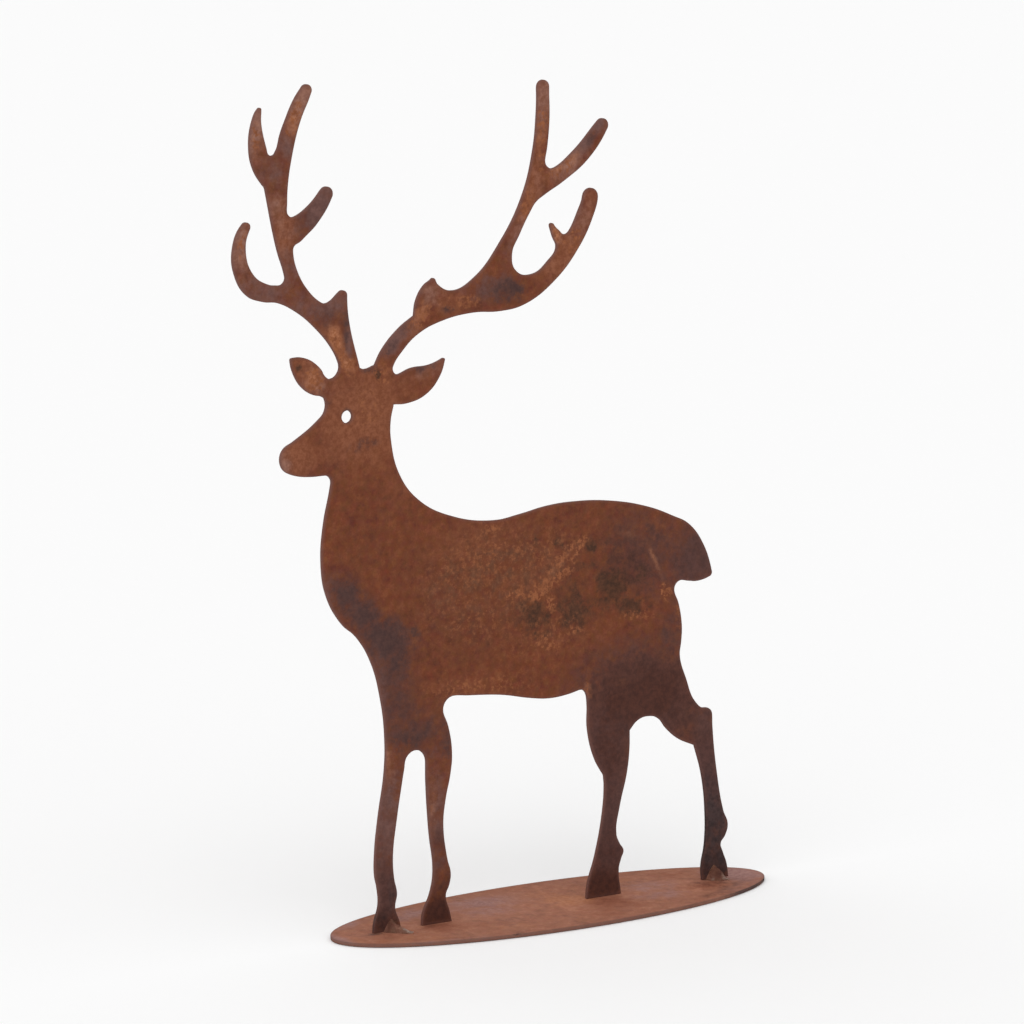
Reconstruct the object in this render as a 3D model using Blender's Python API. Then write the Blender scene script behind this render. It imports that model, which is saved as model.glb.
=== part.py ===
"""A stag silhouette cut from sheet steel, welded upright on an oval foot plate.

Units are metres with +Z up. +X points from the stag's chest to its tail, and -Y is the side on which
it looks to the left and on which the feet are welded. The origin is the centre of the foot plate's
underside. The stag stands on the plate's long axis, and its two faces lie half a sheet off that axis.
"""

import math
from typing import NamedTuple

import bmesh
import bpy
from mathutils import Vector

MM = 0.001

# Driving dimensions, in millimetres
SHEET = 2.0
GAP = 0.3
FOOT_PLATE_LENGTH = 280.0
FOOT_PLATE_WIDTH = 96.0
FOOT_PLATE_SIDES = 96
HOOF_LEVEL = SHEET + GAP
EYE_CENTRE = (-131.5, 281.5)
EYE_DIAMETER = 6.7

# Degrees of arc between two knots of a round stretch, a handle's share of the way to the next
# knot, which keeps such a stretch round, and the segments between two knots
ARC_STEP = 80.0
HANDLE_SHARE = 0.37
OUTLINE_STEPS = 4

# Segments round a weld bead and up it, and the power that makes its flanks nearly straight
BEAD_SIDES = 24
BEAD_RINGS = 12
BEAD_PROFILE = 1.3

# Degrees past which an edge stays crisp on a round piece
CRISP_ANGLE = 40.0

# Colours of the rust and how far the sheet still shines through it
STAG_RUST = (0.19, 0.062, 0.033)
FOOT_PLATE_RUST = (0.32, 0.135, 0.082)
WELD_RUST = (0.24, 0.11, 0.07)
RUST_ROUGHNESS = 0.75
RUST_METALLIC = 0.2

COLLECTION = "stag_silhouette_statue"


class Knot(NamedTuple):
    """One outline point, x and z in millimetres, with how the outline passes through it.

    A sharp knot is a corner, a knot with a tangent is passed in that direction, and any other
    knot is passed smoothly.
    """

    x: float
    z: float
    sharp: bool = False
    tangent: tuple = None


class Bead(NamedTuple):
    """A weld bead: a mound against the sheet's face that spreads over the foot plate."""

    name: str
    centre_x: float
    half_length: float
    reach: float
    height: float
    lean: float


# The beads stand at the foremost and the rearmost hoof; lean is the drift along X per unit of reach
BEADS = (
    Bead("fore_weld", -105.6, 4.6, 10.5, 6.4, 0.60),
    Bead("hind_weld", 108.4, 5.4, 7.2, 7.6, 0.45),
)


def flank(*points):
    """Knots that the outline runs smoothly through."""
    return [Knot(x, z) for x, z in points]


def corner(x, z):
    """A knot at which the outline turns sharply."""
    return [Knot(x, z, sharp=True)]


def arc(x, z, radius, start, stop):
    """Knots on a circle about (x, z), from one angle to the other, in degrees from +X towards +Z."""
    count = max(1, round(abs(stop - start) / ARC_STEP))
    way = math.copysign(1.0, stop - start)
    knots = []
    for i in range(count + 1):
        angle = math.radians(start + (stop - start) * i / count)
        across, up = math.cos(angle), math.sin(angle)
        knots.append(Knot(x + radius * across, z + radius * up, tangent=(-up * way, across * way)))
    return knots


def right_antler():
    """From the crown up the inner side, over two long tines, a spur and a short tine, to the ear."""
    return (
        corner(-113.9, 307.4)
        + flank((-109.5, 314.9), (-98.5, 325.9))
        + corner(-89.4, 331.7)
        + flank((-88.0, 339.5), (-83.0, 347.3))
        + arc(-77.3, 349.7, 1.2, 135, 35)
        + flank((-74.6, 347.5), (-65.2, 343.5), (-51.5, 349.0), (-35.0, 366.5), (-20.5, 390.8))
        + flank((-13.6, 414.0), (-11.2, 434.5))
        + arc(-7.2, 448.4, 3.75, 181, -1)
        + flank((-3.2, 432.0), (-4.7, 416.0))
        + arc(-1.9, 408.7, 4.1, 178, 285)
        + flank((11.5, 412.3))
        + arc(31.3, 426.2, 3.7, 133, -30)
        + flank((22.0, 408.6), (6.0, 397.5), (-6.5, 390.8))
        + flank((-12.0, 387.2), (-15.5, 382.5), (-22.8, 370.0))
        + flank((-27.2, 360.8), (-24.8, 351.5), (-13.5, 349.0))
        + flank((-3.7, 355.2), (1.6, 362.3), (-0.6, 367.9))
        + arc(-1.45, 374.2, 1.25, 195, 30)
        + arc(7.0, 372.2, 3.4, 220, 318)
        + flank((15.7, 380.5))
        + arc(23.7, 388.2, 4.7, 172, -5)
        + flank((25.2, 377.5), (15.6, 360.8), (0.0, 344.3), (-19.5, 332.9))
        + flank((-35.0, 330.4), (-52.0, 330.8), (-72.0, 327.8), (-87.5, 321.6), (-96.8, 313.7))
        + arc(-99.7, 304.7, 3.25, 155, 285)
    )


def right_ear():
    """The ear that points back, as far as the corner where it meets the neck."""
    return (
        flank((-91.5, 304.1), (-79.5, 305.1))
        + arc(-70.9, 307.2, 0.8, 115, -15)
        + flank((-73.4, 298.5), (-82.0, 289.6), (-94.5, 285.6))
        + corner(-102.4, 285.7)
    )


def neck_and_back():
    """The nape, the dip at the withers and the long back, down to the tail."""
    return (
        flank((-104.3, 277.5), (-104.2, 267.0), (-98.8, 248.0), (-86.8, 233.5))
        + flank((-66.0, 223.0), (-38.0, 218.0), (-21.0, 219.9), (-4.0, 222.7), (14.0, 223.5))
        + flank((38.0, 221.7), (62.0, 216.5), (79.5, 209.7), (90.0, 204.4), (99.7, 192.7))
    )


def tail_and_rump():
    """The short tail's blunt end, the notch below it and the rump, down to the thigh."""
    return (
        arc(103.7, 175.8, 2.35, 15, -70)
        + flank((96.0, 171.8), (89.5, 172.5))
        + arc(85.0, 168.7, 4.6, 100, 185)
        + flank((83.3, 160.8), (85.7, 147.5), (85.3, 139.0), (84.4, 131.5), (88.8, 117.8))
        + flank((95.3, 104.0))
    )


def off_hind_leg():
    """The rearmost leg: hock, fetlock and hoof, then up its fore side to the gap's rear corner."""
    return (
        arc(102.4, 95.5, 4.4, 95, 5)
        + flank((107.1, 88.5), (110.3, 62.5), (115.0, 40.0))
        + flank((118.1, 32.0), (116.4, 25.8), (113.3, 21.5), (114.6, 17.0), (117.5, 9.5))
        + corner(118.6, HOOF_LEVEL)
        + corner(100.8, HOOF_LEVEL)
        + flank((100.3, 9.5), (102.6, 22.0), (103.0, 40.0), (100.2, 62.5))
        + corner(95.1, 79.3)
    )


def near_hind_leg():
    """The arch between the hind legs, then the near leg down to its hoof and up to the flank."""
    return (
        flank((84.0, 84.4), (75.8, 91.2))
        + flank((70.6, 97.2), (63.3, 99.5), (56.0, 98.0))
        + corner(50.7, 93.1)
        + flank((50.6, 83.0), (48.9, 69.5), (44.2, 51.5))
        + flank((42.0, 36.0), (44.2, 30.5), (46.8, 26.3), (45.3, 22.0), (43.7, 16.5))
        + corner(45.2, HOOF_LEVEL)
        + corner(22.2, HOOF_LEVEL)
        + flank((22.8, 9.0), (28.0, 25.0), (33.0, 48.0), (34.3, 64.0))
        + corner(33.8, 69.6)
        + flank((27.5, 80.3), (22.9, 97.5), (22.7, 111.0))
        + arc(17.7, 115.0, 4.4, 20, 100)
    )


def belly():
    """The underline, sagging behind the fore legs and drawn up towards the flank."""
    return flank((9.0, 117.8), (-3.0, 117.0), (-15.0, 118.5), (-34.0, 122.4), (-56.0, 124.6))


def second_fore_leg():
    """The fore leg nearer the belly, down to its hoof and up to the arch between the fore legs."""
    return (
        arc(-65.2, 118.8, 6.6, 95, 190)
        + flank((-68.6, 109.6), (-66.1, 94.0), (-67.2, 83.0), (-70.2, 70.0))
        + flank((-71.8, 56.5), (-69.2, 36.5), (-67.1, 28.5), (-68.2, 22.0), (-70.3, 17.0))
        + flank((-67.8, 7.5))
        + corner(-66.5, HOOF_LEVEL)
        + corner(-85.5, HOOF_LEVEL)
        + flank((-85.0, 8.0), (-80.0, 19.4), (-78.0, 30.0), (-80.5, 53.0), (-82.4, 81.0))
        + arc(-89.4, 91.7, 6.9, 2, 176)
    )


def first_fore_leg():
    """The foremost leg, down its rear side to the hoof and up the fore side to the chest."""
    return (
        flank((-97.6, 84.5), (-101.3, 63.5), (-104.0, 42.0), (-103.2, 30.0))
        + flank((-101.5, 22.0), (-102.7, 14.5), (-100.0, 6.5))
        + corner(-98.9, HOOF_LEVEL)
        + corner(-116.4, HOOF_LEVEL)
        + flank((-115.9, 7.5), (-113.1, 17.0), (-113.7, 26.5), (-115.1, 33.0), (-115.1, 45.0))
        + flank((-112.8, 64.5), (-108.8, 89.0), (-108.3, 107.0))
    )


def chest_and_throat():
    """The brisket's full curve and the front of the neck, up to the angle under the jaw."""
    return (
        flank((-110.8, 128.0), (-117.3, 150.0), (-126.3, 163.9))
        + flank((-134.8, 171.3), (-144.4, 187.3), (-147.5, 205.5))
        + flank((-145.7, 226.5), (-142.0, 242.5))
        + arc(-145.0, 247.6, 3.9, -10, 85)
    )


def head():
    """The jaw, the blunt muzzle and the straight face, up to the brow."""
    return (
        flank((-153.5, 251.6), (-162.5, 252.7))
        + arc(-164.3, 261.9, 8.1, 247, 127)
        + flank((-164.6, 270.7), (-148.6, 281.2))
        + arc(-152.7, 288.6, 8.4, -27, 22)
    )


def left_ear():
    """The ear that points forward, with a blunt upper corner."""
    return (
        flank((-147.2, 293.4), (-151.5, 294.4), (-158.5, 298.7), (-163.8, 306.5))
        + arc(-164.6, 313.7, 1.1, 185, 95)
        + flank((-156.5, 314.1), (-147.6, 308.1), (-144.7, 303.8))
        + arc(-141.3, 307.7, 5.6, 265, 378)
    )


def left_antler():
    """The beam and its hooked tine, the forked top, the inner tine and the snag, down to the crown."""
    return (
        flank((-139.5, 316.8), (-150.5, 329.6), (-163.0, 339.3), (-173.5, 344.1))
        + flank((-182.5, 345.3), (-191.5, 349.0), (-198.5, 359.5), (-199.8, 373.5))
        + arc(-191.9, 384.5, 2.5, 135, -25)
        + flank((-192.3, 374.0), (-188.0, 360.0), (-178.5, 354.0))
        + arc(-171.9, 356.6, 3.5, 262, 372)
        + flank((-173.2, 372.0))
        + corner(-180.2, 403.5)
        + flank((-187.0, 413.5), (-189.5, 424.5), (-187.2, 439.5))
        + arc(-183.2, 444.4, 0.95, 135, 0)
        + flank((-182.4, 437.5), (-179.3, 424.0))
        + arc(-176.3, 423.0, 2.7, 218, 322)
        + flank((-170.0, 432.7))
        + arc(-154.95, 453.1, 3.1, 138, -20)
        + flank((-159.0, 437.0), (-164.3, 418.5), (-166.8, 403.5))
        + arc(-164.2, 391.2, 3.2, 175, 285)
        + flank((-154.5, 393.0))
        + arc(-143.2, 399.0, 3.8, 138, -25)
        + flank((-148.5, 384.5), (-155.5, 378.2))
        + arc(-160.5, 370.9, 3.3, 110, 183)
        + flank((-161.7, 361.0), (-154.3, 348.9))
        + arc(-144.3, 347.2, 5.2, 240, 290)
        + arc(-133.7, 345.4, 2.75, 125, 0)
        + flank((-129.8, 331.5))
        + corner(-123.4, 306.7)
        + flank((-120.5, 305.8))
    )


def stag_outline():
    """The whole outline, clockwise as seen from the welded side."""
    return (
        right_antler()
        + right_ear()
        + neck_and_back()
        + tail_and_rump()
        + off_hind_leg()
        + near_hind_leg()
        + belly()
        + second_fore_leg()
        + first_fore_leg()
        + chest_and_throat()
        + head()
        + left_ear()
        + left_antler()
    )


def add_closed_spline(curve, knots):
    """Adds a closed Bezier spline through the knots, with handles that suit each kind of knot."""
    spline = curve.splines.new("BEZIER")
    spline.bezier_points.add(len(knots) - 1)
    spline.use_cyclic_u = True
    places = [Vector((knot.x, knot.z, 0.0)) * MM for knot in knots]
    for i, (point, knot) in enumerate(zip(spline.bezier_points, knots)):
        point.co = places[i]
        handle = "VECTOR" if knot.sharp else "AUTO"
        if knot.tangent:
            handle = "FREE"
            direction = Vector((*knot.tangent, 0.0)) * HANDLE_SHARE
            before = (places[i] - places[i - 1]).length
            after = (places[(i + 1) % len(knots)] - places[i]).length
            point.handle_left = places[i] - direction * before
            point.handle_right = places[i] + direction * after
        point.handle_left_type = handle
        point.handle_right_type = handle


def rusted_steel(name, colour):
    """A dull rusted steel of the given colour."""
    material = bpy.data.materials.new(name)
    material.use_nodes = True
    shader = material.node_tree.nodes["Principled BSDF"]
    shader.inputs["Base Color"].default_value = (*colour, 1.0)
    shader.inputs["Roughness"].default_value = RUST_ROUGHNESS
    shader.inputs["Metallic"].default_value = RUST_METALLIC
    return material


def place_round_piece(bm, name, colour, place, collection):
    """Makes an object of the mesh, smooth but for its crisp edges, at a place in metres."""
    mesh = bpy.data.meshes.new(name)
    bm.to_mesh(mesh)
    bm.free()
    mesh.shade_smooth()
    mesh.set_sharp_from_angle(angle=math.radians(CRISP_ANGLE))
    mesh.materials.append(rusted_steel(name + "_rust", colour))
    piece = bpy.data.objects.new(name, mesh)
    piece.location = place
    collection.objects.link(piece)


def make_stag_plate(collection):
    """The stag: a flat outline with the eye as a round hole, as thick as the sheet, stood upright."""
    curve = bpy.data.curves.new("stag_plate", "CURVE")
    curve.dimensions = "2D"
    curve.fill_mode = "BOTH"
    curve.resolution_u = OUTLINE_STEPS
    curve.extrude = SHEET / 2 * MM
    add_closed_spline(curve, stag_outline())
    eye_x, eye_z = EYE_CENTRE
    eye = arc(eye_x, eye_z, EYE_DIAMETER / 2, 0, 360)
    add_closed_spline(curve, eye[:-1])
    curve.materials.append(rusted_steel("stag_plate_rust", STAG_RUST))
    stag = bpy.data.objects.new("stag_plate", curve)
    stag.rotation_euler = (math.pi / 2, 0.0, 0.0)
    collection.objects.link(stag)


def make_base_plate(collection):
    """The oval foot plate: a disc of unit size drawn out to its length, width and thickness."""
    bm = bmesh.new()
    bmesh.ops.create_cone(
        bm, cap_ends=True, segments=FOOT_PLATE_SIDES, radius1=0.5, radius2=0.5, depth=1.0
    )
    size = Vector((FOOT_PLATE_LENGTH, FOOT_PLATE_WIDTH, SHEET)) * MM
    bmesh.ops.scale(bm, vec=size, verts=bm.verts)
    place = Vector((0.0, 0.0, SHEET / 2)) * MM
    place_round_piece(bm, "base_plate", FOOT_PLATE_RUST, place, collection)


def make_bead(bead, collection):
    """A weld bead, cut flat where it faces the sheet and the foot plate."""
    bm = bmesh.new()
    bmesh.ops.create_uvsphere(bm, u_segments=BEAD_SIDES, v_segments=BEAD_RINGS, radius=1.0)
    for vert in bm.verts:
        spread = min(1.0, math.hypot(vert.co.x, vert.co.y))
        rise = math.copysign(1.0 - spread ** BEAD_PROFILE, vert.co.z)
        out = vert.co.y * bead.reach
        along = vert.co.x * bead.half_length - bead.lean * out
        vert.co = Vector((along, out, rise * bead.height)) * MM
    for normal in (Vector((0.0, 1.0, 0.0)), Vector((0.0, 0.0, -1.0))):
        everything = bm.verts[:] + bm.edges[:] + bm.faces[:]
        cut = bmesh.ops.bisect_plane(
            bm, geom=everything, plane_co=(0.0, 0.0, 0.0), plane_no=normal, clear_outer=True
        )
        rim = [item for item in cut["geom_cut"] if isinstance(item, bmesh.types.BMEdge)]
        bmesh.ops.contextual_create(bm, geom=rim)
    bmesh.ops.recalc_face_normals(bm, faces=bm.faces)
    place = Vector((bead.centre_x, -SHEET / 2 - GAP, HOOF_LEVEL)) * MM
    place_round_piece(bm, bead.name, WELD_RUST, place, collection)


def main():
    """Clears the scene and builds the four pieces."""
    for leftover in list(bpy.data.objects):
        bpy.data.objects.remove(leftover, do_unlink=True)
    collection = bpy.data.collections.new(COLLECTION)
    bpy.context.scene.collection.children.link(collection)
    make_base_plate(collection)
    make_stag_plate(collection)
    for bead in BEADS:
        make_bead(bead, collection)


main()
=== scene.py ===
"""The looks of a stag silhouette cut from rusted sheet steel and welded upright on an oval foot plate.

Lengths are in metres and +Z is up. The stag looks towards -X, and -Y is the side that the camera sees
and on which the weld beads lie. Places of stains are given in millimetres, as they are measured on the
sheet: x and z on the stag, x and y on the foot plate.
"""

import logging
import math
from dataclasses import dataclass
from enum import Enum
from typing import Callable, Union

import bmesh
import bpy
import numpy as np
from mathutils import Euler, Matrix, Vector


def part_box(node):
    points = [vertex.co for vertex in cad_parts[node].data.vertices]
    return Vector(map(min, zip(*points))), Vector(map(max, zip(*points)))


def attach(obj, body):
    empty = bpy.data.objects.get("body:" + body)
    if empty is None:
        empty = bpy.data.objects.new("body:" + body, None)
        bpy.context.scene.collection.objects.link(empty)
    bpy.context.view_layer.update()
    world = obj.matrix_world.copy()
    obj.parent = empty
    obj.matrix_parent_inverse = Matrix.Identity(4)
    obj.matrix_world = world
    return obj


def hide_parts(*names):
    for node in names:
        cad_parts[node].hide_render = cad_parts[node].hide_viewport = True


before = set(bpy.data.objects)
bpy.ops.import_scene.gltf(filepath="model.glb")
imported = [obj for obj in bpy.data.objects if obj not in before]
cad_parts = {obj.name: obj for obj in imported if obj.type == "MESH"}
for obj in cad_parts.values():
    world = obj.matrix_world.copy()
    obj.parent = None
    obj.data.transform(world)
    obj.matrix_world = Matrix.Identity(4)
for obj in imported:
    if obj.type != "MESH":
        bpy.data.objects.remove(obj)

log = logging.getLogger("stag")

MM = 0.001

# Vertices closer than this are one, and how far a cutting plane reaches to snap to a vertex
MERGE = 0.00001
SNAP = 0.000001

# A face looks along an axis where its normal's part along it is above this
FACING = 0.9

# The vertex group that limits where and how deep a piece's relief goes, and its finer layers
RELIEF = "relief"
RELIEF_LAYERS = 3

# The mesh attribute that holds each point's distance from the cut edge in millimetres
RIM = "rim_mm"

# A stain is at its full strength up to this share of its half size, and gone at the other
STAIN_FULL = 0.3
STAIN_END = 1.5

# The share of a sheet's thickness that its cut edge takes up between the two rounded rims
WALL_SHARE = 0.9

# The Mix node's sockets for colours: the share, the colour below, the colour above, and the result
MIX_INPUTS = (0, 6, 7)
MIX_OUTPUT = 2

Socket = bpy.types.NodeSocket
Source = Union[Socket, float, tuple]
Colour = tuple[float, float, float, float]


def shade(red: int, green: int, blue: int) -> Colour:
    """Turns a colour as a screen shows it into the linear one that a shader takes.

    Args:
        red: The red share, 0 to 255.
        green: The green share.
        blue: The blue share.

    Returns:
        The linear colour with full opacity.
    """
    linear = []
    for part in (red, green, blue):
        share = part / 255
        linear.append(share / 12.92 if share <= 0.04045 else ((share + 0.055) / 1.055) ** 2.4)
    return (*linear, 1.0)


def places_of(mesh: bpy.types.Mesh) -> np.ndarray:
    """Reads a mesh's vertices.

    Args:
        mesh: The mesh.

    Returns:
        One row of x, y and z for each vertex, in metres.
    """
    places = np.zeros(len(mesh.vertices) * 3)
    mesh.vertices.foreach_get("co", places)
    return places.reshape(-1, 3)


def store_layer(mesh: bpy.types.Mesh, name: str, values: np.ndarray) -> None:
    """Keeps one number for each vertex as a mesh attribute of the given name."""
    layer = mesh.attributes.new(name, "FLOAT", "POINT")
    layer.data.foreach_set("value", np.asarray(values, dtype=np.float32))


class Element(Enum):
    """What parts of a mesh are picked, with Blender's word for all of them."""

    VERT = "verts"
    EDGE = "edges"
    FACE = "faces"


class Bench:
    """Blender's modelling operators, used on one piece at a time."""

    @staticmethod
    def take(piece: bpy.types.Object) -> None:
        """Makes the piece the only selected object and the active one.

        Args:
            piece: The object to work on.
        """
        bpy.ops.object.select_all(action="DESELECT")
        piece.select_set(True)
        bpy.context.view_layer.objects.active = piece

    @classmethod
    def open(cls, piece: bpy.types.Object) -> None:
        """Starts editing a piece with nothing of it selected.

        Args:
            piece: The mesh object to edit.
        """
        cls.take(piece)
        bpy.ops.object.mode_set(mode="EDIT")
        bpy.ops.mesh.select_mode(type="FACE")
        bpy.ops.mesh.select_all(action="DESELECT")

    @staticmethod
    def close() -> None:
        """Ends editing."""
        bpy.ops.object.mode_set(mode="OBJECT")

    @staticmethod
    def pick(piece: bpy.types.Object, kind: Element, wanted: Callable[..., bool]) -> None:
        """Selects the vertices, edges or faces that a test names, and nothing else.

        Args:
            piece: The piece being edited.
            kind: Which of the three.
            wanted: Says of one such element whether it is selected.
        """
        bpy.ops.mesh.select_mode(type=kind.name)
        bpy.ops.mesh.select_all(action="DESELECT")
        bm = bmesh.from_edit_mesh(piece.data)
        bm.normal_update()
        for element in [element for element in getattr(bm, kind.value) if wanted(element)]:
            element.select_set(True)
        bm.select_flush_mode()
        bmesh.update_edit_mesh(piece.data, loop_triangles=False)

    @staticmethod
    def slice_all(axis: int, low: float, high: float, pitch: float) -> None:
        """Cuts the whole piece being edited by parallel planes at an even pitch.

        Args:
            axis: 0, 1 or 2, the axis that the planes stand across.
            low: Where the piece starts along it.
            high: Where the piece ends along it.
            pitch: The distance from plane to plane.
        """
        normal = Vector((0.0, 0.0, 0.0))
        normal[axis] = 1.0
        count = math.floor((high - low) / pitch)
        start = (low + high - count * pitch) / 2
        for i in range(count + 1):
            bpy.ops.mesh.select_all(action="SELECT")
            bpy.ops.mesh.bisect(plane_co=normal * (start + i * pitch), plane_no=normal, threshold=SNAP)

    @staticmethod
    def weigh(piece: bpy.types.Object, weights: np.ndarray) -> None:
        """Says how much of the relief each vertex of a piece takes.

        Args:
            piece: The mesh object.
            weights: A share from 0 to 1 for each vertex.
        """
        group = piece.vertex_groups.new(name=RELIEF)
        for share in np.unique(weights[weights > 0]):
            group.add(np.flatnonzero(weights == share).tolist(), float(share), "REPLACE")

    @classmethod
    def roughen(cls, piece: bpy.types.Object, size: float, depth: float, group: str = RELIEF) -> None:
        """Eats small hollows into a piece's surface, never past where the surface was.

        Args:
            piece: The mesh object.
            size: The hollows' width.
            depth: The deepest hollow.
            group: The vertex group that limits where, or "" for everywhere.
        """
        texture = bpy.data.textures.new("hollows", "CLOUDS")
        texture.noise_scale = size
        texture.noise_depth = RELIEF_LAYERS
        displace = piece.modifiers.new("hollows", "DISPLACE")
        displace.texture = texture
        displace.texture_coords = "LOCAL"
        displace.mid_level = 1.0
        displace.strength = depth
        displace.vertex_group = group
        cls.take(piece)
        bpy.ops.object.modifier_apply(modifier=displace.name)

    @classmethod
    def copy_node(cls, node: str, name: str) -> bpy.types.Object:
        """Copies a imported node's mesh as a new piece, with its triangles joined.

        Args:
            node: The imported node's name.
            name: The new piece's name.

        Returns:
            The new piece, at the origin as the node is.
        """
        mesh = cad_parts[node].data.copy()
        mesh.materials.clear()
        piece = bpy.data.objects.new(name, mesh)
        bpy.context.scene.collection.objects.link(piece)
        cls.take(piece)
        if mesh.has_custom_normals:
            bpy.ops.mesh.customdata_custom_splitnormals_clear()
        cls.open(piece)
        bpy.ops.mesh.select_all(action="SELECT")
        bpy.ops.mesh.remove_doubles(threshold=MERGE)
        cls.close()
        return piece

    @classmethod
    def dress(cls, piece: bpy.types.Object, smooth: float, material: bpy.types.Material) -> None:
        """Shades a piece and gives it its material.

        Args:
            piece: The mesh object.
            smooth: The widest angle between two faces that are shaded as one.
            material: The material.
        """
        cls.take(piece)
        bpy.ops.object.shade_smooth_by_angle(angle=smooth)
        piece.data.materials.clear()
        piece.data.materials.append(material)


@dataclass(frozen=True)
class Clouds:
    """A cloudy pattern: its clouds' width, how many finer layers it has and how strong they are.

    The span is the part of its range that is stretched to run from 0 to 1.
    """

    size: float
    detail: float = 3.0
    rough: float = 0.55
    span: tuple[float, float] = (0.3, 0.7)


class Wiring:
    """Places nodes in one shader tree and joins them."""

    def __init__(self, tree: bpy.types.NodeTree) -> None:
        """Starts on a material's or a group's node tree."""
        self.tree = tree

    def node(self, kind: str, **settings: object) -> bpy.types.Node:
        """Adds a node.

        Args:
            kind: The node's type name.
            **settings: Its properties, by name.

        Returns:
            The new node.
        """
        made = self.tree.nodes.new(kind)
        for name, value in settings.items():
            setattr(made, name, value)
        return made

    def feed(self, socket: Socket, source: Source) -> None:
        """Joins an input to an output, or sets it to a plain value.

        Args:
            socket: The input.
            source: An output, a number, a vector or a colour.
        """
        if isinstance(source, bpy.types.NodeSocket):
            self.tree.links.new(source, socket)
        else:
            socket.default_value = source

    def work_out(self, kind: str, *sources: Source, **settings: object) -> Socket:
        """Adds a node and feeds its first inputs in their order.

        Args:
            kind: The node's type name.
            *sources: What feeds the inputs.
            **settings: The node's properties, by name.

        Returns:
            The node's first output.
        """
        made = self.node(kind, **settings)
        for socket, source in zip(made.inputs, sources):
            self.feed(socket, source)
        return made.outputs[0]

    def math(self, operation: str, first: Source, second: Source = 0.0) -> Socket:
        """Works out a number from two others by one of the Math node's operations."""
        return self.work_out("ShaderNodeMath", first, second, operation=operation)

    def vector(self, operation: str, first: Source, second: Source) -> Socket:
        """Works out a vector from two others by one of the Vector Math node's operations."""
        return self.work_out("ShaderNodeVectorMath", first, second, operation=operation)

    def remap(self, value: Source, low: float, high: float, start: float = 0.0, end: float = 1.0) -> Socket:
        """Carries a number smoothly from one range to another.

        Args:
            value: The number.
            low: The number that gives start.
            high: The number that gives end.
            start: The result at low.
            end: The result at high.

        Returns:
            The result, held between start and end.
        """
        ends = (low, high, start, end)
        return self.work_out("ShaderNodeMapRange", value, *ends, interpolation_type="SMOOTHSTEP")

    def blend(self, share: Source, below: Source, above: Source) -> Socket:
        """Lays one colour over another.

        Args:
            share: How much of the upper colour shows.
            below: The lower colour.
            above: The upper colour.

        Returns:
            The mixed colour.
        """
        made = self.node("ShaderNodeMix", data_type="RGBA")
        for index, source in zip(MIX_INPUTS, (share, below, above)):
            self.feed(made.inputs[index], source)
        return made.outputs[MIX_OUTPUT]

    def noise(self, point: Source, clouds: Clouds, output: str = "Fac") -> Socket:
        """Adds a cloudy pattern in its own range.

        Args:
            point: The place on the piece.
            clouds: The pattern.
            output: "Fac" for one number, or "Color" for three.

        Returns:
            The pattern, about 0.5 on average.
        """
        made = self.node("ShaderNodeTexNoise")
        self.feed(made.inputs["Vector"], point)
        made.inputs["Scale"].default_value = 1 / clouds.size
        made.inputs["Detail"].default_value = clouds.detail
        made.inputs["Roughness"].default_value = clouds.rough
        return made.outputs[output]

    def pattern(self, point: Source, clouds: Clouds, top: float = 1.0) -> Socket:
        """Adds a cloudy pattern that is stretched to run from 0 to top."""
        return self.remap(self.noise(point, clouds), *clouds.span, 0.0, top)

    def cells(self, point: Source, size: float) -> Socket:
        """Adds a pattern of rounded cells.

        Args:
            point: The place on the piece.
            size: The cells' width, in metres.

        Returns:
            The distance to the cell's middle, in cells.
        """
        made = self.node("ShaderNodeTexVoronoi")
        self.feed(made.inputs["Vector"], point)
        made.inputs["Scale"].default_value = 1 / size
        return made.outputs["Distance"]

    def layer(self, name: str) -> Socket:
        """Reads one of the piece's mesh attributes."""
        return self.node("ShaderNodeAttribute", attribute_name=name).outputs["Fac"]

    def group(self, group: bpy.types.NodeTree, **inputs: Source) -> bpy.types.NodeOutputs:
        """Places a shared effect.

        Args:
            group: The effect's node group.
            **inputs: Its inputs, by name with underscores for spaces.

        Returns:
            Its outputs.
        """
        made = self.node("ShaderNodeGroup", node_tree=group)
        for name, source in inputs.items():
            self.feed(made.inputs[name.replace("_", " ")], source)
        return made.outputs


class SharedEffect:
    """A node group with named inputs and outputs, built once."""

    name = ""
    takes: dict[str, str] = {}
    gives: dict[str, str] = {}

    def __init__(self) -> None:
        """Builds the group."""
        self.tree = bpy.data.node_groups.new(self.name, "ShaderNodeTree")
        for way, sockets in (("INPUT", self.takes), ("OUTPUT", self.gives)):
            for socket, kind in sockets.items():
                self.tree.interface.new_socket(socket, in_out=way, socket_type="NodeSocket" + kind)
        wiring = Wiring(self.tree)
        entry = wiring.node("NodeGroupInput")
        leave = wiring.node("NodeGroupOutput")
        for socket, source in self.wire(wiring, entry.outputs).items():
            wiring.feed(leave.inputs[socket], source)

    def wire(self, wiring: Wiring, given: bpy.types.NodeOutputs) -> dict[str, Socket]:
        """Builds the inside of the group, and gives what feeds each of its outputs."""
        raise NotImplementedError


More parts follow.
